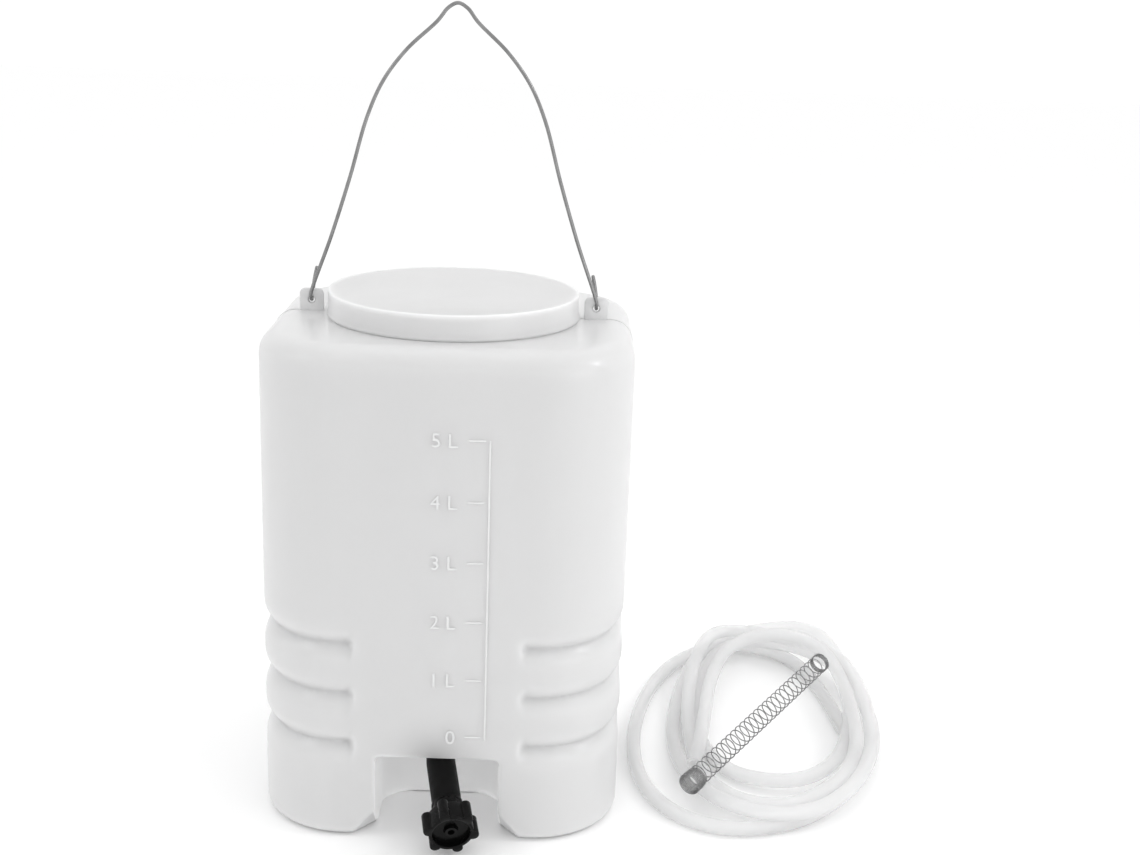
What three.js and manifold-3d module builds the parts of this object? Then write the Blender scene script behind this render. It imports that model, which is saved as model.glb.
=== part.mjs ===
// A hanging plastic tank with a round lid, a wire bail, a black bottom outlet with a hose nut,
// and the loose hose and hose spring that go with it. Millimetres, +Z up, front of the tank is -Y.
// The origin is on the floor under the middle of the tank.
import * as THREE from "three";
import { mergeVertices } from "three/addons/utils/BufferGeometryUtils.js";
import { ConvexGeometry } from "three/addons/geometries/ConvexGeometry.js";
import Module from "manifold-3d";

const wasm = await Module();
wasm.setup();

// Tank
const WIDTH = 196;
const DEPTH = 178;
const HEIGHT = 270; // flat top face
const WALL = 2.2;
const CORNER = 47; // plan radius
const SHOULDER = 12;
const BASE_ROUND = 6;
const GROOVE_DEPTH = 4.5;
const GROOVE_PITCH = 28.5;
const GROOVE_LEVELS = [54, 82.5, 111];
const GROOVE_START_X = 43; // where a groove starts on the front face
const GROOVE_END_Y = -14; // where it has died out on the side

// Neck and lid
const NECK_TOP = 281.5;
const NECK_RADIUS = 65;
const NECK_BORE = 61;
const LID_RADIUS = 68;
const LID_TOP = 284;
const LID_SKIRT = 12;
const LID_WALL = 2;
const SEAL_HEIGHT = 0.8;
const GAP = 0.3;

// Ears and bail
const EAR_X = 77.5;
const EAR_WIDTH = 11.5;
const EAR_THICKNESS = 2.4;
const EAR_TOP = 281.2;
const EAR_HOLE_Z = 276;
const EAR_HOLE_RADIUS = 1.8;
const PIVOT_Z = 279.5; // middle of the web above the ear hole
const HOOK_RADIUS = 3.6; // centre line of the bail's hook round that web
const HOOK_TAIL = 14;
const WIRE_RADIUS = 1;
// Half of the bail's outline above the ear, as half width and height.
const BAIL_HALF = [
  [66, 312],
  [56, 343.5],
  [47, 375],
  [38.5, 394],
  [26.5, 410],
  [10.5, 425],
  [5, 431.8],
];
const BAIL_TOP = 434.3;

// Alcove in the front of the base
const ALCOVE_HALF = 33;
const ALCOVE_TOP = 48;
const ALCOVE_BACK_Y = -38;
const ALCOVE_ROUND = 10;
const FOOT_CUT_X = 56; // outer end of a foot's slanted corner cut, on the floor
const FOOT_CUT_Z = 28;
const FOOT_CUT_Y = -60;

// Outlet
const OUTLET_Z = 32;
const SHANK_RADIUS = 5.6;
const HOLE_RADIUS = 6;
const FLANGE_RADIUS = 8.4;
const BULKHEAD_NUT_RADIUS = 11; // to its corners
const BULKHEAD_NUT_HEIGHT = 6;
const SHANK_LENGTH = 16;
const FLANGE_THICKNESS = 3;
const WASHER_THICKNESS = 1.4;
const SPIGOT_RADIUS = 6.3;
const SPIGOT_END_Y = -56;
const BORE_RADIUS = 4.2;
const OUTLET_TUBE_RADIUS = 8;
const OUTLET_TUBE_BORE = 6.7;
const BEND_Y = -60; // where the drooping part of the outlet tube starts
const NUT_FACE = new THREE.Vector3(10, -110, 15.9); // middle of the hose nut's front face
const NUT_LENGTH = 12;
const NUT_RADIUS = 12;
const RIB_RADIUS = 2.9;
const RIB_CENTRE = 12.2;
const RIB_COUNT = 6;

// Loose hose and its spring, lying on the floor beside the tank
const COIL_MIDDLE = new THREE.Vector2(187, 55.5);
const COIL_HALF = new THREE.Vector2(79.5, 136);
const EYE_MIDDLE = new THREE.Vector2(200, 57); // the open middle of the hose's turns
const EYE_HALF = new THREE.Vector2(36, 78);
const SPRING_RADIUS = 5.8;
const SPRING_WIRE = 1;
const SPRING_START = new THREE.Vector3(138, -57, 19);
const SPRING_END = new THREE.Vector3(231, 77, 36);

const colours = {
  milky: { color: 0xe9eaea, roughness: 0.38, metalness: 0 },
  lid: { color: 0xeeefef, roughness: 0.32, metalness: 0 },
  steel: { color: 0x8d9094, roughness: 0.3, metalness: 1 },
  black: { color: 0x15161a, roughness: 0.3, metalness: 0 },
  rubber: { color: 0x1d1e20, roughness: 0.6, metalness: 0 },
  hose: { color: 0xe6e7e6, roughness: 0.35, metalness: 0 },
};

// ---- Solids

// The geometry as a closed solid, with its faces outwards.
function solid(geometry) {
  const bare = geometry.index ? geometry.toNonIndexed() : geometry.clone();
  bare.deleteAttribute("normal");
  bare.deleteAttribute("uv");
  const merged = mergeVertices(bare, 1e-4);
  const positions = merged.attributes.position.array;
  const triVerts = new Uint32Array(merged.index.array);
  const build = () => new wasm.Manifold(new wasm.Mesh({ numProp: 3, vertProperties: positions, triVerts }));
  const made = build();
  if (made.volume() >= 0) return made;
  for (let i = 0; i < triVerts.length; i += 3) {
    [triVerts[i + 1], triVerts[i + 2]] = [triVerts[i + 2], triVerts[i + 1]];
  }
  return build();
}

function geometryOf(made) {
  const mesh = made.getMesh();
  const geometry = new THREE.BufferGeometry();
  geometry.setAttribute("position", new THREE.BufferAttribute(new Float32Array(mesh.vertProperties), 3));
  geometry.setIndex(new THREE.BufferAttribute(new Uint32Array(mesh.triVerts), 1));
  geometry.computeVertexNormals();
  return geometry;
}

// A profile of [radius, height] points turned about Z.
function turned(profile, segments = 32) {
  const points = profile.map(([r, z]) => new THREE.Vector2(r, z));
  return new THREE.LatheGeometry(points, segments).rotateX(Math.PI / 2);
}

// A ring of rectangular section about Z.
function ring(inner, outer, low, high, segments = 32) {
  return turned([[inner, low], [outer, low], [outer, high], [inner, high], [inner, low]], segments);
}

// Rings of equal point count joined into a closed skin.
function loft(rings) {
  const count = rings[0].length;
  const positions = rings.flat().flatMap((p) => [p.x, p.y, p.z]);
  const index = [];
  for (let k = 0; k + 1 < rings.length; k++) {
    for (let i = 0; i < count; i++) {
      const a = k * count + i;
      const b = k * count + ((i + 1) % count);
      index.push(a, b, b + count, a, b + count, a + count);
    }
  }
  const last = (rings.length - 1) * count;
  for (let i = 1; i + 1 < count; i++) {
    index.push(0, i + 1, i);
    index.push(last, last + i, last + i + 1);
  }
  const geometry = new THREE.BufferGeometry();
  geometry.setAttribute("position", new THREE.Float32BufferAttribute(positions, 3));
  geometry.setIndex(index);
  return geometry;
}

// A round tube, or a solid rod when it has no bore, along a curve.
function sweep(curve, radius, bore, steps, sides) {
  const section = new THREE.Shape().absarc(0, 0, radius, 0, Math.PI * 2);
  if (bore > 0) section.holes.push(new THREE.Path().absarc(0, 0, bore, 0, Math.PI * 2, true));
  return new THREE.ExtrudeGeometry(section, { steps, curveSegments: sides, extrudePath: curve });
}

function roundedRectangle(halfX, lowY, highY, radius) {
  const shape = new THREE.Shape();
  shape.absarc(halfX - radius, lowY + radius, radius, -Math.PI / 2, 0);
  shape.absarc(halfX - radius, highY - radius, radius, 0, Math.PI / 2);
  shape.absarc(-halfX + radius, highY - radius, radius, Math.PI / 2, Math.PI);
  shape.absarc(-halfX + radius, lowY + radius, radius, Math.PI, Math.PI * 1.5);
  return shape;
}

// ---- Tank

const halfW = WIDTH / 2;
const halfD = DEPTH / 2;

// Points round the tank's plan with their outward directions.
function planPoints() {
  const points = [];
  const cx = halfW - CORNER;
  const cy = halfD - CORNER;
  const arc = 6;
  for (const [sx, sy, start] of [[1, -1, -90], [1, 1, 0], [-1, 1, 90], [-1, -1, 180]]) {
    for (let i = 0; i <= arc; i++) {
      const angle = THREE.MathUtils.degToRad(start + (90 * i) / arc);
      const out = new THREE.Vector2(Math.cos(angle), Math.sin(angle));
      points.push({ at: new THREE.Vector2(sx * cx, sy * cy).addScaledVector(out, CORNER), out });
    }
    if (sx > 0 && sy < 0) points.push({ at: new THREE.Vector2(halfW, GROOVE_END_Y), out: new THREE.Vector2(1, 0) });
    if (sx < 0 && sy > 0) points.push({ at: new THREE.Vector2(-halfW, GROOVE_END_Y), out: new THREE.Vector2(-1, 0) });
  }
  for (const x of [-GROOVE_START_X, GROOVE_START_X]) {
    points.push({ at: new THREE.Vector2(x, -halfD), out: new THREE.Vector2(0, -1) });
  }
  return points;
}

// How much of a groove's depth a place on the plan has: all of it round a front corner.
function grooveShare(at) {
  if (at.y > GROOVE_END_Y - 1) return 0;
  const fromSide = THREE.MathUtils.smoothstep(-at.y, -GROOVE_END_Y, -GROOVE_END_Y + 30);
  const fromFront = THREE.MathUtils.smoothstep(Math.abs(at.x), GROOVE_START_X, GROOVE_START_X + 6);
  return fromSide * fromFront;
}

// Round bulges that meet in sharp valleys.
function grooveDepth(z) {
  const nearest = Math.min(...GROOVE_LEVELS.map((level) => Math.abs(z - level)));
  const share = 1 - Math.min(nearest / (GROOVE_PITCH / 2), 1);
  return GROOVE_DEPTH * (1 - Math.sqrt(1 - share * share));
}

// The tank's closed outer form, moved in by a wall.
function tankSkin(wall, grooveSteps) {
  const plan = planPoints();
  const rings = [];
  const put = (z, inset) => {
    rings.push(
      plan.map(({ at, out }) => {
        const move = inset + grooveShare(at) * grooveDepth(z);
        return new THREE.Vector3(at.x - out.x * move, at.y - out.y * move, z);
      }),
    );
  };
  const quarter = 4;
  for (let i = 0; i <= quarter; i++) {
    const angle = (Math.PI / 2) * (i / quarter);
    const radius = BASE_ROUND - wall;
    put(BASE_ROUND - radius * Math.cos(angle), wall + radius * (1 - Math.sin(angle)));
  }
  for (const level of GROOVE_LEVELS) {
    for (const step of grooveSteps) put(level + step * GROOVE_PITCH, wall);
  }
  put(GROOVE_LEVELS[GROOVE_LEVELS.length - 1] + GROOVE_PITCH / 2, wall);
  for (let i = 0; i <= quarter; i++) {
    const angle = (Math.PI / 2) * (i / quarter);
    const radius = SHOULDER - wall;
    put(HEIGHT - SHOULDER + radius * Math.sin(angle), wall + radius * (1 - Math.cos(angle)));
  }
  return solid(loft(rings));
}

// The alcove's space, grown by a wall, with each foot's slanted corner cut.
function alcoveSpace(wall) {
  const half = ALCOVE_HALF + wall;
  const shape = roundedRectangle(half, -halfD - 40, ALCOVE_BACK_Y + wall, ALCOVE_ROUND);
  const depth = ALCOVE_TOP + wall + 10;
  let space = solid(new THREE.ExtrudeGeometry(shape, { depth, bevelEnabled: false, curveSegments: 5 })
    .translate(0, 0, -10));
  for (const side of [-1, 1]) {
    const front = -halfD - 20;
    const inner = side * (half - 6);
    const corners = [
      [inner, front, FOOT_CUT_Z + wall + 14],
      [inner, FOOT_CUT_Y + wall + 6, -8],
      [side * (FOOT_CUT_X + wall + 14), front, -8],
      [inner, front, -8],
    ].map(([x, y, z]) => new THREE.Vector3(x, y, z));
    space = space.add(solid(new ConvexGeometry(corners)));
  }
  return space;
}

function ear(side) {
  const half = EAR_WIDTH / 2;
  const round = 3;
  const shape = new THREE.Shape();
  shape.moveTo(-half, HEIGHT - 1);
  shape.lineTo(half, HEIGHT - 1);
  shape.absarc(half - round, EAR_TOP - round, round, 0, Math.PI / 2);
  shape.absarc(-half + round, EAR_TOP - round, round, Math.PI / 2, Math.PI);
  shape.holes.push(new THREE.Path().absarc(0, EAR_HOLE_Z, EAR_HOLE_RADIUS, 0, Math.PI * 2, true));
  const plate = new THREE.ExtrudeGeometry(shape, { depth: EAR_THICKNESS, bevelEnabled: false, curveSegments: 6 });
  return solid(plate.rotateX(Math.PI / 2).translate(side * EAR_X, EAR_THICKNESS / 2, 0));
}

function tankShell() {
  const outer = tankSkin(0, [-0.5, -0.25, -0.1, 0, 0.1, 0.25])
    .subtract(alcoveSpace(0))
    .add(solid(turned([[0, HEIGHT - 4], [NECK_RADIUS, HEIGHT - 4], [NECK_RADIUS, NECK_TOP], [0, NECK_TOP]])))
    .add(ear(-1))
    .add(ear(1));
  const inner = tankSkin(WALL, [-0.5, -0.2, 0, 0.2])
    .subtract(alcoveSpace(WALL))
    .add(solid(turned([[0, HEIGHT - 6], [NECK_BORE, HEIGHT - 6], [NECK_BORE, NECK_TOP + 1], [0, NECK_TOP + 1]])));
  const hole = solid(
    new THREE.CylinderGeometry(HOLE_RADIUS, HOLE_RADIUS, 12, 32).translate(0, ALCOVE_BACK_Y, OUTLET_Z),
  );
  return geometryOf(outer.subtract(inner).subtract(hole));
}

// ---- Lid and seal

function lid() {
  const low = LID_TOP - LID_SKIRT;
  const inner = LID_RADIUS - LID_WALL;
  return turned([
    [0, LID_TOP - LID_WALL + GAP],
    [inner, LID_TOP - LID_WALL + GAP],
    [inner, low],
    [LID_RADIUS, low],
    [LID_RADIUS, LID_TOP - 1.2],
    [LID_RADIUS - 1.2, LID_TOP],
    [0, LID_TOP],
  ], 64);
}

function lidSeal() {
  return ring(NECK_BORE + 0.5, NECK_RADIUS - 0.5, NECK_TOP + GAP / 4, NECK_TOP + SEAL_HEIGHT - GAP / 2, 64);
}

// ---- Bail

function bailWire() {
  const half = (side) => {
    const list = [new THREE.Vector3(side * (EAR_X - 2.5), HOOK_RADIUS, PIVOT_Z + HOOK_TAIL)];
    list.push(new THREE.Vector3(side * (EAR_X - 1), HOOK_RADIUS, PIVOT_Z + HOOK_TAIL / 2));
    for (let i = 0; i <= 6; i++) {
      const angle = (Math.PI * i) / 6;
      const y = HOOK_RADIUS * Math.cos(angle);
      list.push(new THREE.Vector3(side * EAR_X, y, PIVOT_Z - HOOK_RADIUS * Math.sin(angle)));
    }
    for (const [x, z] of BAIL_HALF) {
      const y = -HOOK_RADIUS * (1 - (z - PIVOT_Z) / (BAIL_TOP - PIVOT_Z));
      list.push(new THREE.Vector3(side * x, y, z));
    }
    return list;
  };
  const points = [...half(-1), new THREE.Vector3(0, 0, BAIL_TOP), ...half(1).reverse()];
  const curve = new THREE.CatmullRomCurve3(points, false, "centripetal");
  return sweep(curve, WIRE_RADIUS, 0, 210, 3);
}

// ---- Outlet

// A shape turned about -Y on the outlet's axis: heights are distances out from the alcove's back wall.
function onOutlet(geometry) {
  return geometry.rotateX(Math.PI / 2).translate(0, ALCOVE_BACK_Y, OUTLET_Z);
}

const flangeBack = GAP + WASHER_THICKNESS + GAP;
const spigotEnd = ALCOVE_BACK_Y - SPIGOT_END_Y;

function bulkheadFitting() {
  const front = flangeBack + FLANGE_THICKNESS;
  return onOutlet(turned([
    [BORE_RADIUS, -SHANK_LENGTH],
    [SHANK_RADIUS, -SHANK_LENGTH],
    [SHANK_RADIUS, flangeBack],
    [FLANGE_RADIUS, flangeBack],
    [FLANGE_RADIUS, front],
    [SPIGOT_RADIUS, front],
    [SPIGOT_RADIUS, spigotEnd],
    [BORE_RADIUS, spigotEnd],
    [BORE_RADIUS, -SHANK_LENGTH],
  ]));
}

function outerWasher() {
  return onOutlet(ring(HOLE_RADIUS, FLANGE_RADIUS - 0.4, GAP, GAP + WASHER_THICKNESS));
}

const innerFace = -WALL - GAP;

function innerWasher() {
  return onOutlet(ring(HOLE_RADIUS, FLANGE_RADIUS + 1, innerFace - WASHER_THICKNESS, innerFace));
}

function bulkheadNut() {
  const shape = new THREE.Shape();
  for (let i = 0; i < 6; i++) {
    const angle = (Math.PI / 3) * i;
    const x = BULKHEAD_NUT_RADIUS * Math.cos(angle);
    const y = BULKHEAD_NUT_RADIUS * Math.sin(angle);
    if (i === 0) shape.moveTo(x, y);
    else shape.lineTo(x, y);
  }
  shape.holes.push(new THREE.Path().absarc(0, 0, HOLE_RADIUS, 0, Math.PI * 2, true));
  const depth = BULKHEAD_NUT_HEIGHT;
  const top = innerFace - WASHER_THICKNESS - GAP;
  const nut = new THREE.ExtrudeGeometry(shape, { depth, bevelEnabled: false, curveSegments: 12 });
  return onOutlet(nut.translate(0, 0, top - depth));
}

// The outlet tube leaves the spigot level, then droops in a straight line to the hose nut.
const bend = new THREE.Vector3(0, BEND_Y, OUTLET_Z);
const droop = NUT_FACE.clone().sub(bend).normalize();
const COUPLING_BACK = -21; // the coupling's back end, measured from the nut's face along the droop
const couplingStart = NUT_FACE.clone().addScaledVector(droop, COUPLING_BACK);

function outletTube() {
  const start = new THREE.Vector3(0, ALCOVE_BACK_Y - flangeBack - FLANGE_THICKNESS - GAP, OUTLET_Z);
  const end = couplingStart.clone().addScaledVector(droop, -GAP);
  const curve = new THREE.CurvePath();
  const entry = new THREE.Vector3(0, BEND_Y + 4, OUTLET_Z);
  const exit = bend.clone().addScaledVector(droop, 5);
  curve.add(new THREE.LineCurve3(start, entry));
  curve.add(new THREE.QuadraticBezierCurve3(entry, bend, exit));
  curve.add(new THREE.LineCurve3(exit, end));
  return sweep(curve, OUTLET_TUBE_RADIUS, OUTLET_TUBE_BORE, 14, 10);
}

// Everything on the coupling is turned about +Z, which its group lays along the droop.
// Heights are measured from the nut's front face, and are negative behind it.
function couplingBody() {
  const collar = turned([
    [BORE_RADIUS, COUPLING_BACK],
    [8.6, COUPLING_BACK],
    [8.6, -NUT_LENGTH - GAP],
    [7.4, -NUT_LENGTH - GAP],
    [7.4, -7.5],
    [BORE_RADIUS, -7.5],
    [BORE_RADIUS, COUPLING_BACK],
  ], 32);
  return collar;
}

function couplingSeal() {
  return ring(BORE_RADIUS, 7.4, -7.2, -6.2, 32);
}

function hoseTail() {
  return turned([[1.8, -5.9], [7.4, -5.9], [7.4, -4.6], [3.4, -4.6], [3.4, -1.2], [1.8, -1.2], [1.8, -5.9]], 32);
}

function lobedOutline() {
  const points = [];
  const perRib = 16;
  for (let i = 0; i < RIB_COUNT * perRib; i++) {
    const angle = (Math.PI * 2 * i) / (RIB_COUNT * perRib);
    const pitch = (Math.PI * 2) / RIB_COUNT;
    const off = angle - Math.round(angle / pitch) * pitch;
    const reach = RIB_CENTRE * Math.sin(off);
    const inside = RIB_RADIUS ** 2 - reach ** 2;
    const rib = inside > 0 ? RIB_CENTRE * Math.cos(off) + Math.sqrt(inside) : 0;
    const radius = Math.max(NUT_RADIUS, rib);
    points.push(new THREE.Vector2(radius * Math.cos(angle), radius * Math.sin(angle)));
  }
  return new THREE.Shape(points);
}

function hoseNut() {
  const body = new THREE.ExtrudeGeometry(lobedOutline(), { depth: NUT_LENGTH, bevelEnabled: false })
    .translate(0, 0, -NUT_LENGTH);
  const bore = turned([
    [0, -NUT_LENGTH - 1],
    [7.8, -NUT_LENGTH - 1],
    [7.8, -4.3],
    [4, -4.3],
    [4, -3.2],
    [10.2, -3.2],
    [10.2, 1],
    [0, 1],
  ], 32);
  return geometryOf(solid(body).subtract(solid(bore)));
}

// ---- Hose and spring

// The spring's slope, and the top of the hose's turns below it, which has the same slope.
const springRun = new THREE.Vector2(SPRING_END.x - SPRING_START.x, SPRING_END.y - SPRING_START.y);
const springSlope = (SPRING_END.z - SPRING_START.z) / springRun.length();

function coilTop(x, y) {
  const along = new THREE.Vector2(x - SPRING_START.x, y - SPRING_START.y).dot(springRun) / springRun.length();
  const below = SPRING_RADIUS * Math.sqrt(1 + springSlope ** 2) + GAP;
  return SPRING_START.z + springSlope * along - below;
}

// An oval ring whose top slopes up to the back right, where the turns lie deepest on each other.
function hoseCoil() {
  const turn = Math.PI * 2;
  const outline = new THREE.Shape().absellipse(COIL_MIDDLE.x, COIL_MIDDLE.y, COIL_HALF.x, COIL_HALF.y, 0, turn);
  const eye = new THREE.Path().absellipse(EYE_MIDDLE.x, EYE_MIDDLE.y, EYE_HALF.x, EYE_HALF.y, 0, turn, true);
  outline.holes.push(eye);
  const coil = new THREE.ExtrudeGeometry(outline, { depth: 1, bevelEnabled: false, curveSegments: 20 });
  const at = coil.attributes.position;
  for (let i = 0; i < at.count; i++) {
    if (at.getZ(i) > 0.5) at.setZ(i, coilTop(at.getX(i), at.getY(i)));
  }
  return coil;
}

function hoseSpring() {
  const line = new THREE.LineCurve3(SPRING_START, SPRING_END);
  return sweep(line, SPRING_RADIUS, SPRING_RADIUS - SPRING_WIRE, 1, 12);
}

// ---- Assembly

function piece(name, geometry, finish) {
  const mesh = new THREE.Mesh(geometry, new THREE.MeshStandardMaterial(finish));
  mesh.name = name;
  return mesh;
}

const coupling = new THREE.Group();
coupling.position.copy(NUT_FACE);
coupling.quaternion.setFromUnitVectors(new THREE.Vector3(0, 0, 1), droop);
coupling.add(
  piece("coupling_body", couplingBody(), colours.black),
  piece("coupling_seal", couplingSeal(), colours.rubber),
  piece("hose_tail", hoseTail(), colours.black),
  piece("hose_nut", hoseNut(), colours.black),
);

const tank = new THREE.Group();
tank.add(
  piece("tank_shell", tankShell(), colours.milky),
  piece("lid", lid(), colours.lid),
  piece("lid_seal", lidSeal(), colours.rubber),
  piece("bail_wire", bailWire(), colours.steel),
  piece("bulkhead_fitting", bulkheadFitting(), colours.black),
  piece("bulkhead_outer_washer", outerWasher(), colours.rubber),
  piece("bulkhead_inner_washer", innerWasher(), colours.rubber),
  piece("bulkhead_nut", bulkheadNut(), colours.black),
  piece("outlet_tube", outletTube(), colours.rubber),
  coupling,
  piece("hose_coil", hoseCoil(), colours.hose),
  piece("hose_spring", hoseSpring(), colours.steel),
);

export default tank;
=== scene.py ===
import math

import bmesh
import bpy
import numpy as np
from mathutils import Matrix, Vector


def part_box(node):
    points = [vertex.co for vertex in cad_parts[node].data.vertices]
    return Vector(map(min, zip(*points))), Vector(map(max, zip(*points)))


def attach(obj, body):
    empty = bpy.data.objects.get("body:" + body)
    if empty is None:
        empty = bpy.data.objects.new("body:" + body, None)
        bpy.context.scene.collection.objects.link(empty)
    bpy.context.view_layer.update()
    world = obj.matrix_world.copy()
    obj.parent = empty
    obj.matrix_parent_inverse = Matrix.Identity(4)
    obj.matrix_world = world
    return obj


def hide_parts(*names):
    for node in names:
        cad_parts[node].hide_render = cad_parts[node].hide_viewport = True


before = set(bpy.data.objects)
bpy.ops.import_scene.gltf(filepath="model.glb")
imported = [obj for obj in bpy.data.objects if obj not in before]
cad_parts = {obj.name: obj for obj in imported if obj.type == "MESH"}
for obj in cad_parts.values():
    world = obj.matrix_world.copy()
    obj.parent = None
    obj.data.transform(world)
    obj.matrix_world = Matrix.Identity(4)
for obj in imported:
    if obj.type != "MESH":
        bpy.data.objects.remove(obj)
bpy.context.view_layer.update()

# A hanging plastic tank with its lid, wire bail, bottom outlet, loose hose and hose spring.
# Shapes are worked out in millimetres, in the frame's own axes, and written out in metres.
MM = 0.001


def far_corner(node):
    """A CAD node's greatest x, y and z."""
    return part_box(node)[1] / MM


SHELL_HIGH = far_corner("tank_shell")
LID_HIGH = far_corner("lid")

# Tank
HALF_WIDTH = SHELL_HIGH.x
HALF_DEPTH = SHELL_HIGH.y
TOP_FACE = 270.0
CORNER = 47.0
SHOULDER = 12.0
BASE_ROUND = 6.0
WALL = 2.2
GROOVE_DEPTH = 6.6
GROOVE_PITCH = 28.5
GROOVE_LEVELS = (54.0, 82.5, 111.0)
GROOVE_START_X = 43.0
GROOVE_START_EASE = 4.0
GROOVE_END_Y = -14.0
GROOVE_END_EASE = 30.0
NECK_TOP = SHELL_HIGH.z
NECK_RADIUS = 65.0
NECK_BORE = 61.0

# Alcove
ALCOVE_HALF = 33.0
ALCOVE_TOP = 48.0
ALCOVE_BACK_Y = -38.0
ALCOVE_ROUND = 18.0
FOOT_CUT_X = 56.0
FOOT_CUT_Z = 28.0
FOOT_CUT_Y = -60.0

# Ears and bail
EAR_X = 77.5
EAR_WIDTH = 13.0
EAR_THICKNESS = 2.4
EAR_TOP = 282.0
EAR_HOLE_Z = 276.0
EAR_HOLE_RADIUS = 1.8
PIVOT_Z = 279.5
HOOK_RADIUS = 3.6
HOOK_TAIL = 14.0
WIRE_RADIUS = 1.0
BAIL_HALF = ((66, 312), (56, 343.5), (47, 375), (38.5, 394), (26.5, 410), (10.5, 425), (5, 431.8))
BAIL_TOP = 434.3

# Outlet
OUTLET_Z = 32.0
OUTLET_HOLE = 6.0
FITTING_REACH = 5.0
TUBE_RADIUS = 8.0
TUBE_BORE = 6.7
BEND_Y = -60.0
NUT_FACE = Vector((10, -110, 15.9))
NUT_LENGTH = 12.0
NUT_RADIUS = 12.0
RIB_RADIUS = 2.9
RIB_CENTRE = 12.2
RIB_COUNT = 6
COUPLING_BACK = -21.0
COUPLING_FRONT = -7.5
COUPLING_THREAD = 7.4
COUPLING_BORE = 4.2
THREAD_PITCH = 1.2
GAP = 0.3

# Graduations on the front
SCALE_X = 25.3
TICK_FROM, TICK_TO = 14.5, 22.7
TICK_ZERO, TICK_PITCH = 61.2, 32.74
TICK_COUNT = 5
LABEL_X = 2.2
ZERO_LABEL_X = 7.0
LABEL_HEIGHT = 8.0
FONT_SIZE = 1.35 * LABEL_HEIGHT
MARK_HALF_WIDTH = 0.5
MARK_RAISE = 0.22

# Hose: the ends are lists of points, and the turns run from one extreme to the next, to the left,
# back, right and front in turn. The coil lies askew, so those are along two directions of its own.
HOSE_DIAMETER = 8.5
HOSE_WALL = 1.4
HOSE_STEP = 3.0
HOSE_SIDES = 20
HOSE_OPEN_STEPS = 5
HOSE_OVAL_SHARE = 0.8
HOSE_HEAD = ((143, -28), (150, 8))
HOSE_TURNS = (
    (158, 62), (201, 146), (244, 14), (188, -61),
    (147, 69), (180, 160), (255, 26), (190, -72),
    (137, 54), (224, 187), (248, 62), (201, -28),
    (152, 72), (196, 160), (260, 44), (166, -76),
    (112, 38), (190, 170),
)
HOSE_DIRECTIONS = ((1, 0.068), (0.112, 1))
HOSE_TAIL = ((213, 160), (229, 136), (239, 84), (246, 9))

# Hose spring
SPRING_START = Vector((138, -57, 19.8))
SPRING_END = Vector((231, 77, 36))
SPRING_RADIUS = 5.6
SPRING_WIRE_RADIUS = 0.32
SPRING_FLARE = 0.5
SPRING_CLOSED_PITCH = 1.1
SPRING_FLARED_TURNS = 9
SPRING_OPEN_TURNS = 27
SPRING_CLOSED_TURNS = 4

# Camera, in metres and degrees
CAMERA_AT = (0.0589, -0.8362, 0.4500)
CAMERA_LENS = 49.307
CAMERA_PITCH, CAMERA_YAW, CAMERA_ROLL = 16.15, 0.45, 2.01

# Places of a piece's materials
SHELL_MATERIAL, PAINTED_GLOW_MATERIAL, EAR_MATERIAL = 0, 1, 2


# ---- Mesh helpers


def mesh_piece(name, vertices, faces, sharp_angle=35):
    """A new object from vertices in millimetres, smooth except at edges over the angle."""
    mesh = bpy.data.meshes.new(name)
    mesh.from_pydata([tuple(c * MM for c in v) for v in vertices], [], faces)
    mesh.validate()
    smooth(mesh, sharp_angle)
    piece = bpy.data.objects.new(name, mesh)
    bpy.context.scene.collection.objects.link(piece)
    return piece


def smooth(mesh, sharp_angle):
    mesh.shade_smooth()
    mesh.set_sharp_from_angle(angle=math.radians(sharp_angle))


def loft(rings, closed_ends=True):
    """Vertices and faces of a skin through rings of equal point count."""
    count = len(rings[0])
    vertices = [p for ring in rings for p in ring]
    faces = []
    for k in range(len(rings) - 1):
        for i in range(count):
            a, b = k * count + i, k * count + (i + 1) % count
            faces.append((a, b, b + count, a + count))
    if closed_ends:
        last = (len(rings) - 1) * count
        faces.append(tuple(range(count - 1, -1, -1)))
        faces.append(tuple(range(last, last + count)))
    return vertices, faces


def turned(profile, segments=128):
    """A closed skin from (radius, height) points turned about Z; a closed profile makes a ring."""
    hollow = profile[0] == profile[-1]
    points = profile[:-1] if hollow else profile
    vertices, faces, rows = [], [], []
    for radius, height in points:
        if radius < 1e-6:
            rows.append([len(vertices)])
            vertices.append((0, 0, height))
            continue
        rows.append(list(range(len(vertices), len(vertices) + segments)))
        for i in range(segments):
            angle = 2 * math.pi * i / segments
            vertices.append((radius * math.cos(angle), radius * math.sin(angle), height))
    pairs = list(zip(rows, rows[1:])) + ([(rows[-1], rows[0])] if hollow else [])
    for low, high in pairs:
        for i in range(segments):
            j = (i + 1) % segments
            corners = [low[i % len(low)], low[j % len(low)], high[j % len(high)], high[i % len(high)]]
            faces.append(tuple(dict.fromkeys(corners)))
    return vertices, faces


def arc(centre, radius, start, end, steps=6):
    """Points of a round stretch of a profile, angles in degrees from the first axis."""
    points = []
    for i in range(steps + 1):
        angle = math.radians(start + (end - start) * i / steps)
        points.append((centre[0] + radius * math.cos(angle), centre[1] + radius * math.sin(angle)))
    return points


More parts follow.
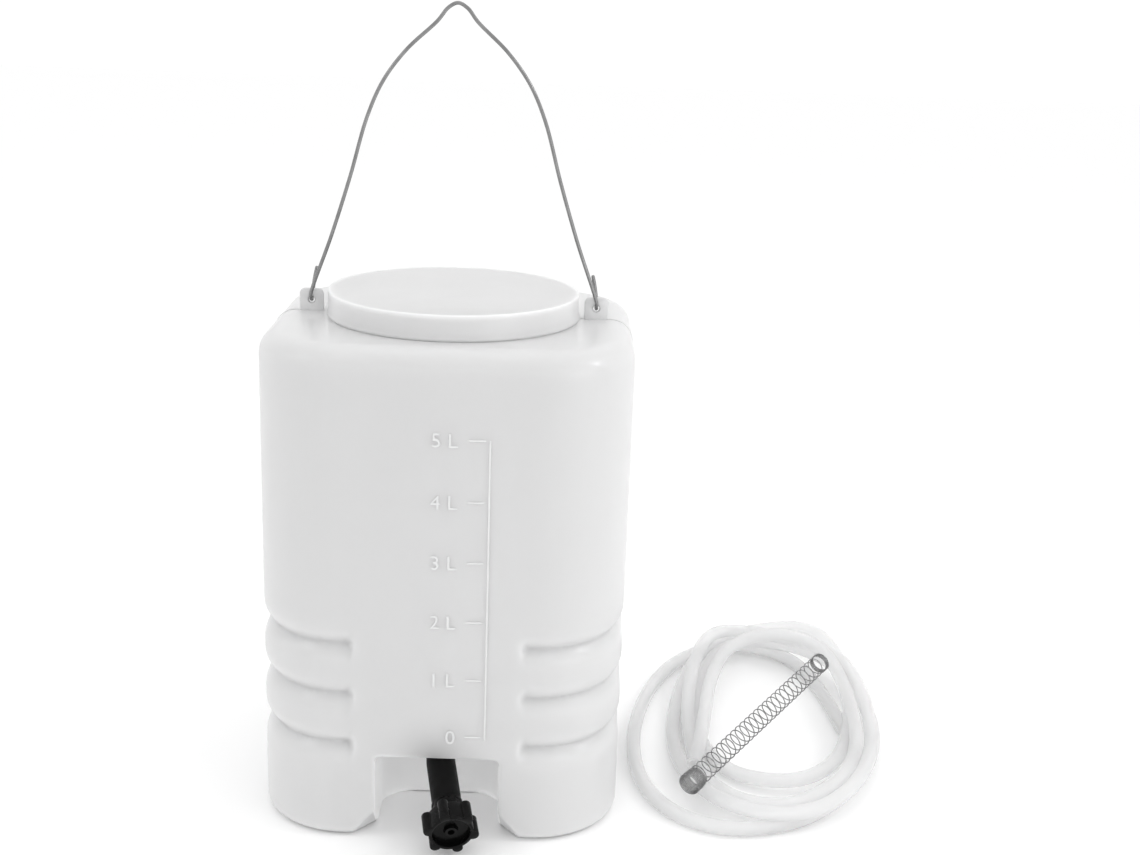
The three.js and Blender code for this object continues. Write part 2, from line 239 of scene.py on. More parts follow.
def swept(points, sections):
    """Rings of (across, up) section points carried along a line of points without twisting."""
    line = [Vector(p) for p in points]
    rings, side = [], None
    for i, at in enumerate(line):
        along = (line[min(i + 1, len(line) - 1)] - line[max(i - 1, 0)]).normalized()
        if side is None:
            side = along.cross(Vector((0, 0, 1)) if abs(along.z) < 0.9 else Vector((0, 1, 0)))
        side = (side - along * side.dot(along)).normalized()
        up = side.cross(along)
        rings.append([tuple(at + side * a + up * b) for a, b in sections[i]])
    return rings


def circle(radius, sides):
    turn = 2 * math.pi / sides
    return [(radius * math.cos(turn * i), radius * math.sin(turn * i)) for i in range(sides)]


def placed(vertices, matrix):
    return [tuple(matrix @ Vector(v)) for v in vertices]


def apply_modifiers(piece):
    """Turns a piece's modifiers into its mesh."""
    bpy.context.view_layer.update()
    graph = bpy.context.evaluated_depsgraph_get()
    mesh = bpy.data.meshes.new_from_object(piece.evaluated_get(graph))
    piece.modifiers.clear()
    piece.data = mesh


def combine(piece, other, operation):
    """Cuts or joins another object, which is used up."""
    boolean = piece.modifiers.new("boolean", "BOOLEAN")
    boolean.operation = operation
    boolean.solver = "EXACT"
    boolean.object = other
    apply_modifiers(piece)
    bpy.data.objects.remove(other)


def finish_piece(piece, body, material, replaced=()):
    piece.data.materials.clear()
    piece.data.materials.append(material)
    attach(piece, body)
    if replaced:
        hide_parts(*replaced)
    return piece


# ---- Materials


def new_material(name, **inputs):
    """A material with its Principled shader's sockets set by name."""
    material = bpy.data.materials.new(name)
    material.use_nodes = True
    shader = material.node_tree.nodes["Principled BSDF"]
    for socket, value in inputs.items():
        shader.inputs[socket.replace("_", " ")].default_value = value
    return material, material.node_tree, shader


def noise(tree, scale, detail=3.0, stretch=(1, 1, 1)):
    """Noise over the object's own coordinates; scale is in waves per metre."""
    coordinates = tree.nodes.new("ShaderNodeTexCoord")
    mapping = tree.nodes.new("ShaderNodeMapping")
    mapping.inputs["Scale"].default_value = stretch
    texture = tree.nodes.new("ShaderNodeTexNoise")
    texture.inputs["Scale"].default_value = scale
    texture.inputs["Detail"].default_value = detail
    tree.links.new(coordinates.outputs["Object"], mapping.inputs["Vector"])
    tree.links.new(mapping.outputs["Vector"], texture.inputs["Vector"])
    return texture.outputs["Fac"]


def ramp(tree, value, low, high):
    """A colour that runs from low to high as value goes from 0.3 to 0.7."""
    node = tree.nodes.new("ShaderNodeValToRGB")
    node.color_ramp.elements[0].position = 0.3
    node.color_ramp.elements[1].position = 0.7
    node.color_ramp.elements[0].color = (*low, 1)
    node.color_ramp.elements[1].color = (*high, 1)
    tree.links.new(value, node.inputs["Fac"])
    return node.outputs["Color"]


def spread(tree, value, low, high):
    """A number that runs from low to high as value goes from 0.3 to 0.7."""
    node = tree.nodes.new("ShaderNodeMapRange")
    node.inputs["From Min"].default_value = 0.3
    node.inputs["From Max"].default_value = 0.7
    node.inputs["To Min"].default_value = low
    node.inputs["To Max"].default_value = high
    tree.links.new(value, node.inputs["Value"])
    return node.outputs["Result"]


def bump(tree, shader, value, strength, distance):
    node = tree.nodes.new("ShaderNodeBump")
    node.inputs["Strength"].default_value = strength
    node.inputs["Distance"].default_value = distance
    tree.links.new(value, node.inputs["Height"])
    tree.links.new(node.outputs["Normal"], shader.inputs["Normal"])


def grey(value):
    return (value, value, value * 1.004)


def scattering_plastic(name, light, dark, **inputs):
    """Polyethylene with faint flow streaks and soft gloss, which scatters light inside its wall."""
    material, tree, shader = new_material(name, IOR=1.5, Subsurface_Weight=0.8, **inputs)
    shader.inputs["Subsurface Scale"].default_value = 0.012
    shader.inputs["Subsurface Radius"].default_value = (1.0, 1.0, 1.0)
    colour = ramp(tree, noise(tree, 14, 4, (1, 1, 0.35)), grey(dark), grey(light))
    tree.links.new(colour, shader.inputs["Base Color"])
    tree.links.new(spread(tree, noise(tree, 60, 3), 0.3, 0.4), shader.inputs["Roughness"])
    return material, tree, shader, colour


def milky_plastic(name, light, dark, painted_shade=False):
    """Blow-moulded polyethylene, with or without painted shade over the alcove, where the black outlet shows
    dark through the wall.
    """
    made = scattering_plastic(name, light, dark, Coat_Weight=0.3, Coat_Roughness=0.14)
    material, tree, shader, colour = made
    # Painted shade over the alcove, where the outlet shows through.
    if painted_shade:
        tree.links.new(shadow_patch(tree, colour), shader.inputs["Base Color"])
    bump(tree, shader, noise(tree, 240, 2, (1, 1, 0.6)), 0.05, 0.0006)
    return material


def painted_glow_plastic():
    """The same plastic in the alcove, with painted light: a steady glow stands in for light from inside
    coming through the wall.
    """
    material, tree, shader, colour = scattering_plastic("alcove_painted_glow", 0.84, 0.8)
    # Painted light: the emission makes these walls glow though no lamp is there.
    shader.inputs["Emission Color"].default_value = (1, 1, 1, 1)
    shader.inputs["Emission Strength"].default_value = 0.2
    return material


def solid_plastic(name, light, dark):
    """The same plastic where it is solid right through: the raised graduations and the ears."""
    material, tree, shader = new_material(name, IOR=1.5)
    tree.links.new(ramp(tree, noise(tree, 180, 3), grey(dark), grey(light)), shader.inputs["Base Color"])
    tree.links.new(spread(tree, noise(tree, 300, 3), 0.3, 0.42), shader.inputs["Roughness"])
    return material


def shadow_patch(tree, colour):
    """Painted shade: the colour darkened in a soft round patch over the alcove, standing in for the black
    outlet showing dark through the wall.
    """
    middle = Vector((-1, -HALF_DEPTH, 47)) * MM
    reach = Vector((36, 40, 30)) * MM
    coordinates = tree.nodes.new("ShaderNodeTexCoord")
    mapping = tree.nodes.new("ShaderNodeMapping")
    mapping.vector_type = "TEXTURE"
    mapping.inputs["Location"].default_value = middle
    mapping.inputs["Scale"].default_value = reach
    sphere = tree.nodes.new("ShaderNodeTexGradient")
    sphere.gradient_type = "QUADRATIC_SPHERE"
    mix = tree.nodes.new("ShaderNodeMix")
    mix.data_type = "RGBA"
    factor, plain, dark = (mix.inputs[i] for i in (0, 6, 7))
    # Painted shade: the darkened colour at the patch's middle, fading out towards its edge.
    dark.default_value = (0.3, 0.3, 0.3, 1)
    tree.links.new(coordinates.outputs["Object"], mapping.inputs["Vector"])
    tree.links.new(mapping.outputs["Vector"], sphere.inputs["Vector"])
    tree.links.new(sphere.outputs["Fac"], factor)
    tree.links.new(colour, plain)
    return mix.outputs[2]


def steel_wire():
    """Drawn spring steel: fine lengthwise scratches and slight dull spots."""
    material, tree, shader = new_material("steel_wire", Metallic=1.0)
    tree.links.new(ramp(tree, noise(tree, 120, 4), grey(0.22), grey(0.3)), shader.inputs["Base Color"])
    tree.links.new(spread(tree, noise(tree, 400, 3), 0.2, 0.36), shader.inputs["Roughness"])
    bump(tree, shader, noise(tree, 1500, 2, (1, 1, 0.1)), 0.12, 0.0001)
    return material


def black_plastic():
    """Glossy moulded black plastic, a little dull in places."""
    material, tree, shader = new_material("black_plastic", IOR=1.5, Specular_IOR_Level=0.12)
    tree.links.new(ramp(tree, noise(tree, 90, 3), grey(0.002), grey(0.004)), shader.inputs["Base Color"])
    tree.links.new(spread(tree, noise(tree, 220, 4), 0.16, 0.3), shader.inputs["Roughness"])
    bump(tree, shader, noise(tree, 700, 2), 0.08, 0.0002)
    return material


def black_rubber():
    """Satin black rubber with a fine bloom."""
    material, tree, shader = new_material("black_rubber", IOR=1.48, Specular_IOR_Level=0.1)
    tree.links.new(ramp(tree, noise(tree, 150, 4), grey(0.003), grey(0.006)), shader.inputs["Base Color"])
    tree.links.new(spread(tree, noise(tree, 300, 3), 0.4, 0.55), shader.inputs["Roughness"])
    bump(tree, shader, noise(tree, 900, 2), 0.12, 0.0002)
    return material


def clear_hose():
    """Whitish translucent flexible hose."""
    material, tree, shader = new_material("clear_hose", IOR=1.45, Alpha=0.46, Subsurface_Weight=0.8)
    shader.inputs["Subsurface Scale"].default_value = 0.02
    shader.inputs["Subsurface Radius"].default_value = (1.0, 1.0, 1.0)
    tree.links.new(ramp(tree, noise(tree, 25, 2), grey(0.77), grey(0.79)), shader.inputs["Base Color"])
    tree.links.new(spread(tree, noise(tree, 160, 3), 0.42, 0.52), shader.inputs["Roughness"])
    bump(tree, shader, noise(tree, 400, 2), 0.02, 0.0001)
    return material


def pale_floor():
    material, tree, shader = new_material("pale_floor", Roughness=0.85)
    shader.inputs["Base Color"].default_value = (0.97, 0.97, 0.97, 1)
    return material


# ---- Hose and spring


def turn_quarter(start, end, leaves_upright, steps=24):
    """A quarter turn between two extremes: an ellipse, drawn a little towards straights and a bend."""
    if not leaves_upright:
        back = turn_quarter(end, start, True, steps)
        return [start] + back[:0:-1]
    across, up = end[0] - start[0], end[1] - start[1]
    radius = min(abs(across), abs(up))
    straight = abs(up) - radius
    flat = abs(across) - radius
    bend = radius * math.pi / 2
    straighter = 1 - HOSE_OVAL_SHARE
    points = []
    for i in range(steps):
        share = i / steps
        angle = share * math.pi / 2
        oval = (end[0] - across * math.cos(angle), start[1] + up * math.sin(angle))
        gone = share * (straight + bend + flat)
        turn = min(max((gone - straight) / radius, 0), math.pi / 2)
        x = radius * (1 - math.cos(turn)) + max(gone - straight - bend, 0)
        y = min(gone, straight) + radius * math.sin(turn)
        stadium = (start[0] + math.copysign(x, across), start[1] + math.copysign(y, up))
        points.append(tuple(HOSE_OVAL_SHARE * a + straighter * b for a, b in zip(oval, stadium)))
    return points


def smooth_line(points, steps=20):
    """A smooth line through points."""
    p = [np.array(q, float) for q in points]
    p = [2 * p[0] - p[1]] + p + [2 * p[-1] - p[-2]]
    line = []
    for a, b, c, d in zip(p, p[1:], p[2:], p[3:]):
        for i in range(steps):
            t = i / steps
            bow = (2 * a - 5 * b + 4 * c - d) * t**2 + (3 * b - a - 3 * c + d) * t**3
            line.append(0.5 * (2 * b + (c - a) * t + bow))
    return line + [p[-2]]


def even_steps(path, step):
    """The same line with points a step apart."""
    gone = np.r_[0, np.cumsum(np.linalg.norm(np.diff(path, axis=0), axis=1))]
    count = int(round(gone[-1] / step))
    at = np.linspace(0, gone[-1], count + 1)
    return np.column_stack([np.interp(at, gone, path[:, k]) for k in range(path.shape[1])])


def softened(values, rounds):
    """Each value drawn towards its neighbours, except at the ends."""
    for _ in range(rounds):
        between = (values[:-2] + 2 * values[1:-1] + values[2:]) / 4
        values = np.concatenate([values[:1], between, values[-1:]])
    return values


def hose_plan():
    """The hose's line on the floor, its turns drawn along the coil's own directions."""
    askew = np.array(HOSE_DIRECTIONS).T
    extremes = [tuple(np.linalg.solve(askew, p)) for p in HOSE_TURNS]
    turns = []
    for k, (start, end) in enumerate(zip(extremes, extremes[1:])):
        turns += [tuple(askew @ p) for p in turn_quarter(start, end, k % 2 == 0)]
    head = smooth_line(HOSE_HEAD + HOSE_TURNS[:1])
    tail = smooth_line(HOSE_TURNS[-1:] + HOSE_TAIL)
    path = np.array([tuple(p) for p in head[:-1] + turns + tail], float)
    rounds = 12
    return even_steps(softened(even_steps(path, HOSE_STEP), rounds), HOSE_STEP)


def hose_line():
    """The hose's centre line: its tail is on the floor, and each turn lies over the later ones."""
    plan = hose_plan()
    count = len(plan)
    rest = HOSE_DIAMETER / 2
    apart = HOSE_DIAMETER * 0.92
    skip = 12
    ease = 0.0035
    rounds = 12
    distance = np.linalg.norm(plan[:, None] - plan[None], axis=2)
    along = np.arange(count) * HOSE_STEP
    drop = ease * (along[:, None] - along[None]) ** 2
    height = np.full(count, rest)
    for _ in range(6):
        needed = height.copy()
        for j in range(count - skip - 1, -1, -1):
            later = np.arange(j + skip, count)
            near = later[distance[j, later] < apart]
            if len(near):
                over = height[near] + np.sqrt(apart**2 - distance[j, near] ** 2)
                needed[j] = max(needed[j], over.max())
        height = np.maximum((needed[None] - drop).max(1), rest)
    for _ in range(rounds):
        height = np.maximum(softened(height, 1), rest)
    return np.column_stack([plan, height])


def hose(material):
    """A tube with its bore open for a little way in from each cut end."""
    line = hose_line()
    outside = HOSE_DIAMETER / 2
    inside = outside - HOSE_WALL
    last = len(line) - 1
    near_bore = [(index, inside) for index in range(HOSE_OPEN_STEPS, -1, -1)]
    skin = [(index, outside) for index in range(last + 1)]
    far_bore = [(last - index, inside) for index in range(HOSE_OPEN_STEPS + 1)]
    whole = swept(line, [circle(1, HOSE_SIDES)] * len(line))
    rings = []
    for index, radius in near_bore + skin + far_bore:
        middle = Vector(line[index])
        rings.append([tuple(middle + (Vector(p) - middle) * radius) for p in whole[index]])
    piece = mesh_piece("hose", *loft(rings), 50)
    finish_piece(piece, "hose", material, ["hose_coil"])
    return piece


def spring_winding():
    """Distance along, radius and angle of the wire: a flared closed end, open turns, a closed end."""
    closed_turns = SPRING_FLARED_TURNS + SPRING_CLOSED_TURNS
    open_length = (SPRING_END - SPRING_START).length - closed_turns * SPRING_CLOSED_PITCH
    steps = 24
    points, gone = [], 0.0
    for turns, pitch, flare in (
        (SPRING_FLARED_TURNS, SPRING_CLOSED_PITCH, SPRING_FLARE),
        (SPRING_OPEN_TURNS, open_length / SPRING_OPEN_TURNS, 0.0),
        (SPRING_CLOSED_TURNS, SPRING_CLOSED_PITCH, 0.0),
    ):
        for i in range(turns * steps):
            share = i / (turns * steps)
            wide = flare * min(1, 2 * (1 - share))
            points.append((gone, SPRING_RADIUS + wide, 2 * math.pi * (i % steps) / steps))
            gone += pitch / steps
    return points


def hose_spring(material):
    """The wire spring that lies on the hose."""
    axis = (SPRING_END - SPRING_START).normalized()
    side = axis.cross(Vector((0, 0, 1))).normalized()
    up = side.cross(axis)
    line = []
    for gone, radius, angle in spring_winding():
        across = side * math.cos(angle) + up * math.sin(angle)
        line.append(SPRING_START + axis * gone + across * radius)
    vertices, faces = loft(swept(line, [circle(SPRING_WIRE_RADIUS, 8)] * len(line)))
    piece = mesh_piece("spring_wire", vertices, faces, 60)
    return finish_piece(piece, "spring", material, ["hose_spring"])


# ---- Tank


def plan_points():
    """Points round the tank's plan, closest together on its front, each with its outward direction."""
    near_x, near_y = HALF_WIDTH - CORNER, HALF_DEPTH - CORNER
    bend_steps, side_steps, front_steps = 26, 28, 68
    points = []
    for sx, sy, start in ((1, -1, -90), (1, 1, 0), (-1, 1, 90), (-1, -1, 180)):
        for i in range(bend_steps + 1):
            angle = math.radians(start + 90 * i / bend_steps)
            out = Vector((math.cos(angle), math.sin(angle)))
            points.append((Vector((sx * near_x, sy * near_y)) + out * CORNER, out))
        along_side = (sx > 0) == (sy < 0)
        steps = side_steps if along_side else front_steps
        last, out = points[-1]
        after = Vector((last.x, -last.y)) if along_side else Vector((-last.x, last.y))
        points += [(last.lerp(after, i / steps), out) for i in range(1, steps)]
    return points


def smoothstep(value, low, high):
    """Zero up to low, one from high on, and smooth between."""
    share = min(max((value - low) / (high - low), 0), 1)
    return share * share * (3 - 2 * share)


def groove_share(at):
    """How much of a groove's depth a place on the plan has: all of it round a front corner."""
    if at.y > GROOVE_END_Y:
        return 0
    from_side = smoothstep(-at.y, -GROOVE_END_Y, GROOVE_END_EASE - GROOVE_END_Y)
    return from_side * smoothstep(abs(at.x), GROOVE_START_X, GROOVE_START_X + GROOVE_START_EASE)


def groove_depth(z):
    """Round bulges that meet in sharp valleys."""
    nearest = min(abs(z - level) for level in GROOVE_LEVELS)
    share = 1 - min(nearest / (GROOVE_PITCH / 2), 1)
    return GROOVE_DEPTH * share**3


def tank_levels():
    """Heights of the tank's rings with how far each is set in."""
    levels = [(z, BASE_ROUND - x) for x, z in arc((0, BASE_ROUND), BASE_ROUND, -90, 0)]
    straight_end = TOP_FACE - SHOULDER
    count = 200
    for i in range(1, count):
        levels.append((BASE_ROUND + (straight_end - BASE_ROUND) * i / count, 0))
    return levels + [(z, SHOULDER - x) for x, z in arc((0, straight_end), SHOULDER, 0, 90, 8)]


def tank_form():
    """The tank's closed outer form, with a flat top and no neck."""
    plan = plan_points()
    rings = []
    for z, inset in tank_levels():
        ring = []
        for at, out in plan:
            spot = at - out * (inset + groove_share(at) * groove_depth(z))
            ring.append((spot.x, spot.y, z))
        rings.append(ring)
    return mesh_piece("tank", *loft(rings))


def alcove_form():
    """The alcove's space: a round-cornered slot with a soft upper edge."""
    back, front = ALCOVE_BACK_Y, -HALF_DEPTH - 40
    half, radius, soft = ALCOVE_HALF, ALCOVE_ROUND, 3.0
    outline = [(half, front)]
    outline += arc((half - radius, back - radius), radius, 0, 90, 10)
    outline += arc((radius - half, back - radius), radius, 90, 180, 10)
    outline.append((-half, front))
    below = -10
    levels = [(below, 0)] + [(z, soft - x) for x, z in arc((0, ALCOVE_TOP - soft), soft, 0, 90)]
    rings = []
    for z, inset in levels:
        across = (half - inset) / half
        rings.append([(x * across, y - inset if y > front else y, z) for x, y in outline])
    return mesh_piece("alcove", *loft(rings))


def foot_cut(side):
    """The slanted cut at a foot's inner front corner."""
    front, below = -HALF_DEPTH - 20, -8
    inner = side * (ALCOVE_HALF - 6)
    outer = side * (FOOT_CUT_X + 14)
    corners = [
        (inner, front, FOOT_CUT_Z + 14),
        (inner, FOOT_CUT_Y + 6, below),
        (outer, front, below),
        (inner, front, below),
    ]
    piece = mesh_piece("foot_cut", corners, [(0, 1, 2), (0, 3, 1), (0, 2, 3), (1, 3, 2)])
    face_outwards(piece)
    return piece


def face_outwards(piece):
    """Turns a closed mesh's faces outwards."""
    form = bmesh.new()
    form.from_mesh(piece.data)
    bmesh.ops.recalc_face_normals(form, faces=form.faces)
    form.to_mesh(piece.data)
    form.free()


def join(first, *others):
    """Puts other objects' meshes into the first; they are used up."""
    form = bmesh.new()
    for piece in (first, *others):
        form.from_mesh(piece.data)
    form.to_mesh(first.data)
    form.free()
    for piece in others:
        bpy.data.objects.remove(piece)
    return first


def neck_form():
    """The neck, with a fillet where it leaves the top face."""
    foot, lip, base = 2.5, 1, TOP_FACE - 5
    profile = [(0, base), (NECK_RADIUS + foot, base)]
    profile += arc((NECK_RADIUS + foot, TOP_FACE + foot), foot, 270, 180)
    profile += arc((NECK_RADIUS - lip, NECK_TOP - lip), lip, 0, 90, 3) + [(0, NECK_TOP)]
    return mesh_piece("neck", *turned(profile))


def ear(side):
    """A plate standing across the tank's middle, with a round hole for the bail."""
    half, corner, thick, edge = EAR_WIDTH / 2, 3.0, EAR_THICKNESS / 2, 0.5
    outline = [(-half, TOP_FACE - 1), (half, TOP_FACE - 1)]
    outline += arc((half - corner, EAR_TOP - corner), corner, 0, 90, 8)
    outline += arc((corner - half, EAR_TOP - corner), corner, 90, 180, 8)
    middle = (EAR_TOP + TOP_FACE) / 2
    rings = []
    for y, inset in ((-thick, edge), (edge - thick, 0), (thick - edge, 0), (thick, edge)):
        shrink = 1 - inset / half
        ring = [(side * EAR_X + x * shrink, y, middle + (z - middle) * shrink) for x, z in outline]
        rings.append(ring)
    piece = mesh_piece("ear", *loft(rings))
    face_outwards(piece)
    combine(piece, ear_hole(side), "DIFFERENCE")
    return piece


def across_tank(x, y, z):
    """Lays +Z along the tank's depth at a place."""
    return Matrix.Translation((x, y, z)) @ Matrix.Rotation(math.pi / 2, 4, "X")


def ear_hole(side):
    """The space through an ear, wider where its rims are rounded."""
    thick, edge, past = EAR_THICKNESS / 2, 0.5, 0.1
    profile = [(0, -thick - past), (EAR_HOLE_RADIUS + edge, -thick - past), (EAR_HOLE_RADIUS, edge - thick)]
    profile += [(radius, -height) for radius, height in profile[::-1]]
    vertices, faces = turned(profile, 32)
    piece = mesh_piece("ear_hole", placed(vertices, across_tank(side * EAR_X, 0, EAR_HOLE_Z)), faces)
    face_outwards(piece)
    return piece


def bore_form():
    """What is open through the neck, and through the alcove's back wall."""
    low, high = TOP_FACE - 9, NECK_TOP + 4
    neck = mesh_piece("bore", *turned([(0, low), (NECK_BORE, low), (NECK_BORE, high), (0, high)]))
    reach = 8
    vertices, faces = turned([(0, -reach), (OUTLET_HOLE, -reach), (OUTLET_HOLE, reach), (0, reach)], 48)
    hole = mesh_piece("outlet_hole", placed(vertices, across_tank(0, ALCOVE_BACK_Y, OUTLET_Z)), faces)
    for piece in (neck, hole):
        face_outwards(piece)
    return join(neck, hole)


def tank_shell(material):
    """The blow-moulded shell: cut, softened all over, then hollowed to its wall."""
    tank = tank_form()
    for cutter in (alcove_form(), foot_cut(-1), foot_cut(1)):
        combine(tank, cutter, "DIFFERENCE")
    join(tank, neck_form())
    remesh = tank.modifiers.new("even", "REMESH")
    remesh.mode = "VOXEL"
    remesh.voxel_size = 1.5 * MM
    soften = tank.modifiers.new("soften", "SMOOTH")
    soften.factor = 0.5
    soften.iterations = 4
    apply_modifiers(tank)
    hollow = tank.modifiers.new("wall", "SOLIDIFY")
    hollow.thickness = WALL * MM
    hollow.offset = -1
    apply_modifiers(tank)
    combine(tank, bore_form(), "DIFFERENCE")
    for side in (-1, 1):
        combine(tank, ear(side), "UNION")
    smooth(tank.data, 50)
    finish_piece(tank, "tank", material, ["tank_shell"])
    tank.data.materials.append(painted_glow_plastic())
    tank.data.materials.append(solid_plastic("ear_plastic", 0.66, 0.62))
    for face in tank.data.polygons:
        face.material_index = shell_material(face.center / MM)
    return tank


def shell_material(at):
    """Which of the shell's materials a place has."""
    under_alcove = abs(at.x) < ALCOVE_HALF + 1 and at.z < ALCOVE_TOP + 0.5
    # The alcove's walls take the painted glow.
    if under_alcove and 1 - HALF_DEPTH < at.y < ALCOVE_BACK_Y + 1:
        return PAINTED_GLOW_MATERIAL
    if at.z > TOP_FACE + 1 and abs(at.x) > NECK_RADIUS + 3 and abs(at.y) < EAR_THICKNESS:
        return EAR_MATERIAL
    return SHELL_MATERIAL


def mould_seam(material):
    """The thin bead the mould leaves over the shoulders and down the sides, half sunk in them."""
    radius, sunk, step = 0.35, 0.15, 8
    straight_end = TOP_FACE - SHOULDER
    for side, name in ((-1, "mould_seam_left"), (1, "mould_seam_right")):
        line = [(NECK_RADIUS + 3, TOP_FACE)]
        line += arc((HALF_WIDTH - SHOULDER, straight_end), SHOULDER, 90, 0, 12)
        line += [(HALF_WIDTH, z) for z in range(240, step, -step)] + [(HALF_WIDTH, BASE_ROUND)]
        points = [(side * (x - sunk), 0, z - sunk if z > TOP_FACE - 1 else z) for x, z in line]
        piece = mesh_piece(name, *loft(swept(points, [circle(radius, 10)] * len(points))))
        finish_piece(piece, "tank", material)


def text_form(words, matrix):
    """Raised characters, standing on the XY plane before they are placed."""
    curve = bpy.data.curves.new("words", "FONT")
    curve.body = words
    curve.size = FONT_SIZE * MM
    curve.align_x = "CENTER"
    curve.extrude = MARK_RAISE * MM
    curve.bevel_depth = 0.08 * MM
    maker = bpy.data.objects.new("words", curve)
    bpy.context.scene.collection.objects.link(maker)
    bpy.context.view_layer.update()
    graph = bpy.context.evaluated_depsgraph_get()
    mesh = bpy.data.meshes.new_from_object(maker.evaluated_get(graph))
    bpy.data.objects.remove(maker)
    mesh.transform(matrix)
    piece = bpy.data.objects.new("words", mesh)
    bpy.context.scene.collection.objects.link(piece)
    return piece


def bar(low_x, high_x, low_z, high_z):
    """A raised bar on the front face with a slightly narrower crest."""
    face, foot, ease = -HALF_DEPTH, 0.6, 0.25
    rings = []
    for y, inset in ((face + foot, 0), (face - MARK_RAISE / 2, 0), (face - MARK_RAISE, ease)):
        rings.append([
            (low_x + inset, y, low_z + inset), (high_x - inset, y, low_z + inset),
            (high_x - inset, y, high_z - inset), (low_x + inset, y, high_z - inset),
        ])
    piece = mesh_piece("bar", *loft(rings))
    face_outwards(piece)
    return piece


def graduations(material):
    """A scale of equal marks over a zero, with plain numbers."""
    half, tail = MARK_HALF_WIDTH, 1.6
    top = TICK_ZERO + TICK_COUNT * TICK_PITCH
    parts = [bar(SCALE_X - half, SCALE_X + half, TICK_ZERO - tail, top)]
    for mark in range(TICK_COUNT + 1):
        z = TICK_ZERO + mark * TICK_PITCH
        x, words = (LABEL_X, f"{mark} L") if mark else (ZERO_LABEL_X, "0")
        parts.append(bar(TICK_FROM, TICK_TO, z - half, z + half))
        upright = across_tank(x * MM, -HALF_DEPTH * MM, (z - LABEL_HEIGHT / 2) * MM)
        parts.append(text_form(words, upright))
    piece = join(*parts)
    piece.name = "graduations"
    smooth(piece.data, 30)
    return finish_piece(piece, "tank", material)


# ---- Lid and bail


def lid(material):
    """A shallow cap: a flat top with a low rim, and a skirt with a rolled lower lip."""
    radius, wall = LID_HIGH.x, 2.0
    edge, dip = 0.8, 0.15
    top, low = LID_HIGH.z, TOP_FACE + 0.15
    under = top - 1.7
    inner = radius - wall
    profile = [(0, top - dip), (radius - edge - 1.2, top - dip), (radius - edge - 0.5, top)]
    profile += arc((radius - edge, top - edge), edge, 90, 0)
    profile += [(radius, low + 2.6), (radius + 0.45, low + 2.0)]
    profile += arc((radius - 0.15, low + 0.6), 0.6, 0, -90, 4)
    profile += arc((inner + 0.5, low + 0.5), 0.5, 270, 180, 3)
    profile += [(inner, under - 0.6), (inner - 0.6, under), (0, under)]
    piece = mesh_piece("lid_cap", *turned(profile[::-1], 160), 40)
    face_outwards(piece)
    return finish_piece(piece, "lid", material, ["lid"])


def bail_points(side):
    """One half of the bail, from its tail behind the ear round the hook and up to the apex."""
    points = [(side * (EAR_X - 2.5), HOOK_RADIUS, PIVOT_Z + HOOK_TAIL)]
    points.append((side * (EAR_X - 1), HOOK_RADIUS, PIVOT_Z + HOOK_TAIL / 2))
    for i in range(7):
        angle = math.pi * i / 6
        points.append((side * EAR_X, HOOK_RADIUS * math.cos(angle), PIVOT_Z - HOOK_RADIUS * math.sin(angle)))
    for x, z in BAIL_HALF:
        lean = 1 - (z - PIVOT_Z) / (BAIL_TOP - PIVOT_Z)
        points.append((side * x, -HOOK_RADIUS * lean, z))
    return points


def rounded_line(points, steps):
    """A line through points that doesn't swing wide where they are unevenly spaced."""
    p = [np.array(q, float) for q in points]
    p = [2 * p[0] - p[1]] + p + [2 * p[-1] - p[-2]]
    line = []
    for a, b, c, d in zip(p, p[1:], p[2:], p[3:]):
        t1 = math.sqrt(np.linalg.norm(b - a))
        t2 = t1 + math.sqrt(np.linalg.norm(c - b))
        t3 = t2 + math.sqrt(np.linalg.norm(d - c))
        for i in range(steps):
            t = t1 + (t2 - t1) * i / steps
            ab = (a * (t1 - t) + b * t) / t1
            bc = (b * (t2 - t) + c * (t - t1)) / (t2 - t1)
            cd = (c * (t3 - t) + d * (t - t2)) / (t3 - t2)
            abc = (ab * (t2 - t) + bc * t) / t2
            bcd = (bc * (t3 - t) + cd * (t - t1)) / (t3 - t1)
            line.append((abc * (t2 - t) + bcd * (t - t1)) / (t2 - t1))
    return line + [p[-2]]


def bail(material):
    """The wire bail, thinner at its cut ends."""
    points = bail_points(-1) + [(0, 0, BAIL_TOP)] + bail_points(1)[::-1]
    line = rounded_line(points, 10)
    tip = 0.6
    radii = [tip] + [WIRE_RADIUS] * (len(line) - 2) + [tip]
    piece = mesh_piece("bail", *loft(swept(line, [circle(r, 14) for r in radii])), 60)
    return finish_piece(piece, "bail", material, ["bail_wire"])


# ---- Outlet


def droop():
    return (NUT_FACE - Vector((0, BEND_Y, OUTLET_Z))).normalized()


def on_coupling():
    """Lays +Z along the drooping part of the outlet, with the nut's front face at zero."""
    turn = Vector((0, 0, 1)).rotation_difference(droop()).to_matrix().to_4x4()
    return Matrix.Translation(NUT_FACE) @ turn


def outlet_line():
    """The outlet tube's middle: straight out of the fitting, round a bend and down to the coupling."""
    fitting_front = ALCOVE_BACK_Y - FITTING_REACH - GAP
    bend = Vector((0, BEND_Y, OUTLET_Z))
    entry, leave = bend + Vector((0, 4, 0)), bend + droop() * 5
    stop = NUT_FACE + droop() * (COUPLING_BACK - GAP)
    line = [Vector((0, fitting_front, OUTLET_Z)).lerp(entry, i / 6) for i in range(6)]
    for i in range(9):
        t = i / 9
        line.append(entry * (1 - t) ** 2 + bend * 2 * t * (1 - t) + leave * t**2)
    return line + [leave.lerp(stop, i / 8) for i in range(9)]


